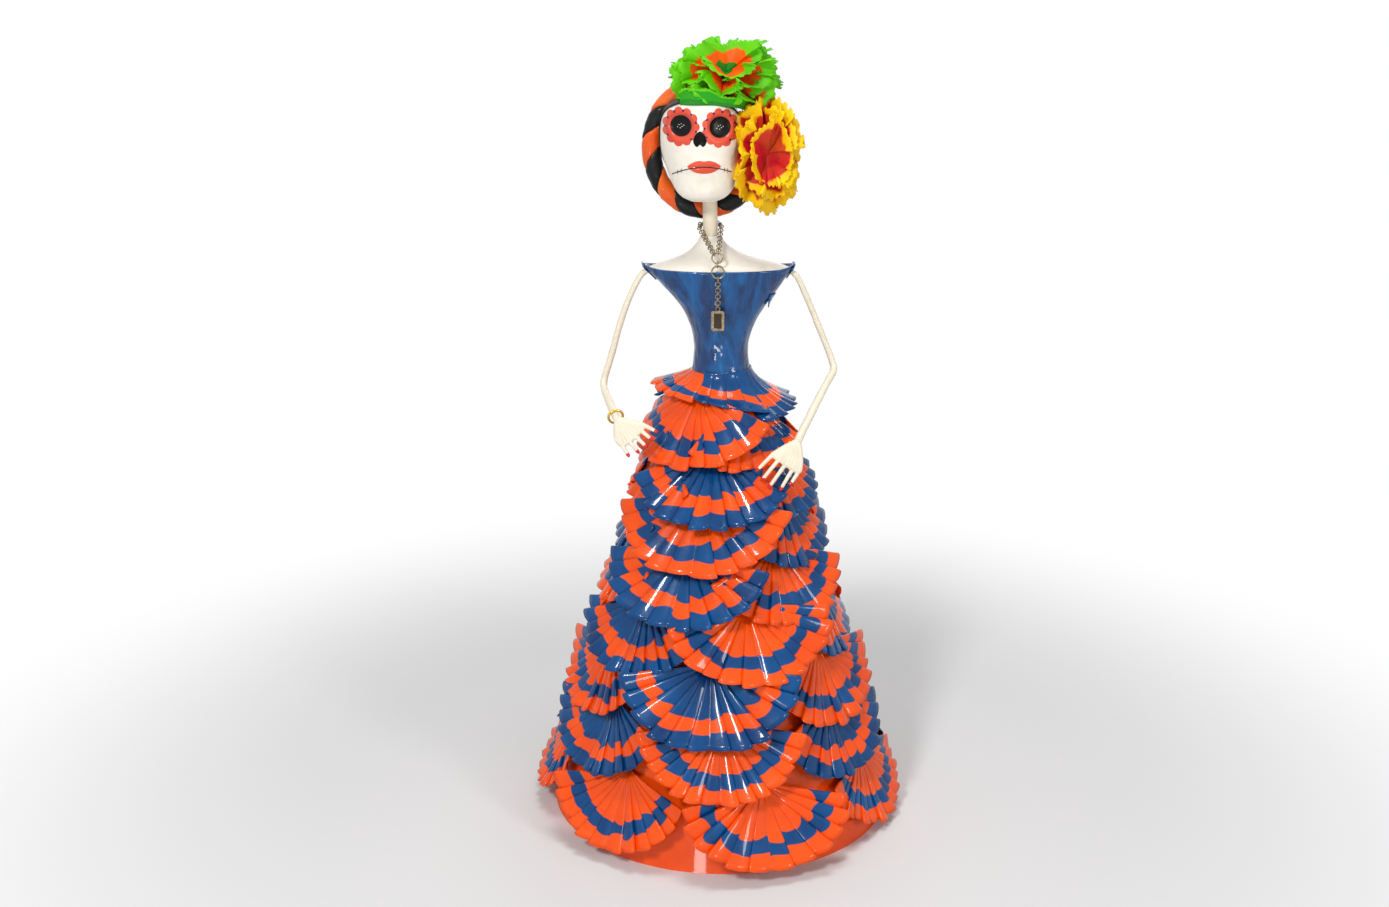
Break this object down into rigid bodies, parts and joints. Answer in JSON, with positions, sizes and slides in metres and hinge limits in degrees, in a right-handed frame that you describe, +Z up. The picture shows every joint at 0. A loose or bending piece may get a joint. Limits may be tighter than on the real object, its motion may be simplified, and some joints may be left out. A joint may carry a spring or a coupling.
{
  "type": "papier-mache catrina figure",
  "caption": "Standing skeleton lady figure with a skirt of pleated paper fans, a narrow waist, thin arms, a flowered head and a hanging pendant.",
  "frame": {"origin": "centre of the round base, on the face that it stands on", "axes": "+Z up along the figure, -Y towards the front of the figure, +X towards the figure's left"},
  "size_m": [0.3005, 0.303, 0.5947],
  "materials": {
    "orange_fan_paper": "glossy",
    "blue_fan_paper": "glossy",
    "card": "matte",
    "orange_painted_paper": "glossy",
    "bare_wood": "matte",
    "blue_painted_paper": "glossy",
    "cream_painted_paper": "satin",
    "black_painted_paper": "glossy",
    "green_petal_paper": "satin",
    "yellow_petal_paper": "satin",
    "crimson_petal_paper": "satin",
    "steel_wire": "satin",
    "gold_metal": "polished",
    "aged_brass": "aged",
    "dark_inset": "glossy"
  },
  "bodies": {
    "figure": {"back_fans_blue": "blue_fan_paper", "back_fans_orange": "orange_fan_paper", "base_disc": "card", "bodice": "blue_painted_paper", "braid_black": "black_painted_paper", "braid_orange": "orange_painted_paper", "bust": "cream_painted_paper", "fan_tier1_far_left": "blue_fan_paper", "fan_tier1_front": "orange_fan_paper", "fan_tier1_front_left": "orange_fan_paper", "fan_tier2_far_left": "orange_fan_paper", "fan_tier2_front": "blue_fan_paper", "fan_tier2_front_right": "blue_fan_paper", "fan_tier3_far_left": "blue_fan_paper", "fan_tier3_front": "orange_fan_paper", "fan_tier3_front_right": "blue_fan_paper", "fan_tier4_far_left": "orange_fan_paper", "fan_tier4_front": "blue_fan_paper", "fan_tier4_front_right": "orange_fan_paper", "fan_tier5_far_right": "blue_fan_paper", "fan_tier5_front": "orange_fan_paper", "fan_tier5_front_left": "blue_fan_paper", "fan_tier6_front": "blue_fan_paper", "fan_tier6_front_left": "orange_fan_paper", "fan_tier6_front_right": "orange_fan_paper", "fan_tier7_front": "orange_fan_paper", "fan_tier7_front_left": "blue_fan_paper", "fan_tier7_front_right": "blue_fan_paper", "fan_tier8_far_left": "orange_fan_paper", "fan_tier8_far_right": "orange_fan_paper", "fan_tier8_front": "orange_fan_paper", "fan_tier8_front_left": "orange_fan_paper", "green_flower_inner": "green_petal_paper", "green_flower_outer": "green_petal_paper", "hair_cap": "black_painted_paper", "left_arm": "cream_painted_paper", "left_arm_wire": "steel_wire", "left_hand": "cream_painted_paper", "neck": "cream_painted_paper", "necklace_left": "aged_brass", "necklace_right": "aged_brass", "necklace_rings": "aged_brass", "peplum_back": "blue_fan_paper", "peplum_front": "blue_fan_paper", "peplum_left": "orange_fan_paper", "peplum_right": "blue_fan_paper", "right_arm": "cream_painted_paper", "right_arm_wire": "steel_wire", "right_hand": "cream_painted_paper", "skirt_cone": "orange_painted_paper", "skull": "cream_painted_paper", "spine_dowel": "bare_wood", "yellow_flower_inner": "crimson_petal_paper", "yellow_flower_outer": "yellow_petal_paper"},
    "bangle": {"bangle": "gold_metal"},
    "hanging_ring": {"hanging_ring": "aged_brass"},
    "drop_chain": {"drop_chain": "aged_brass"},
    "pendant": {"pendant_frame": "aged_brass", "pendant_inset": "dark_inset"}
  },
  "joints": [
    {"name": "bangle_slide", "type": "slide", "parent": "figure", "child": "bangle", "axis": [-0.251, 0.9297, 0.2696], "range_m": [0, 0.02]},
    {"name": "necklace_swing", "type": "hinge", "parent": "figure", "child": "hanging_ring", "pos_m": [-0.0043, -0.0286, 0.4294], "axis": [1, 0, 0], "range_deg": [-50, 6]},
    {"name": "drop_chain_swing", "type": "hinge", "parent": "hanging_ring", "child": "drop_chain", "pos_m": [-0.0043, -0.0286, 0.4256], "axis": [0, 1, 0], "range_deg": [-30, 30]},
    {"name": "pendant_swing", "type": "hinge", "parent": "drop_chain", "child": "pendant", "pos_m": [-0.0043, -0.0286, 0.4073], "axis": [0, 1, 0], "range_deg": [-30, 30]}
  ]
}
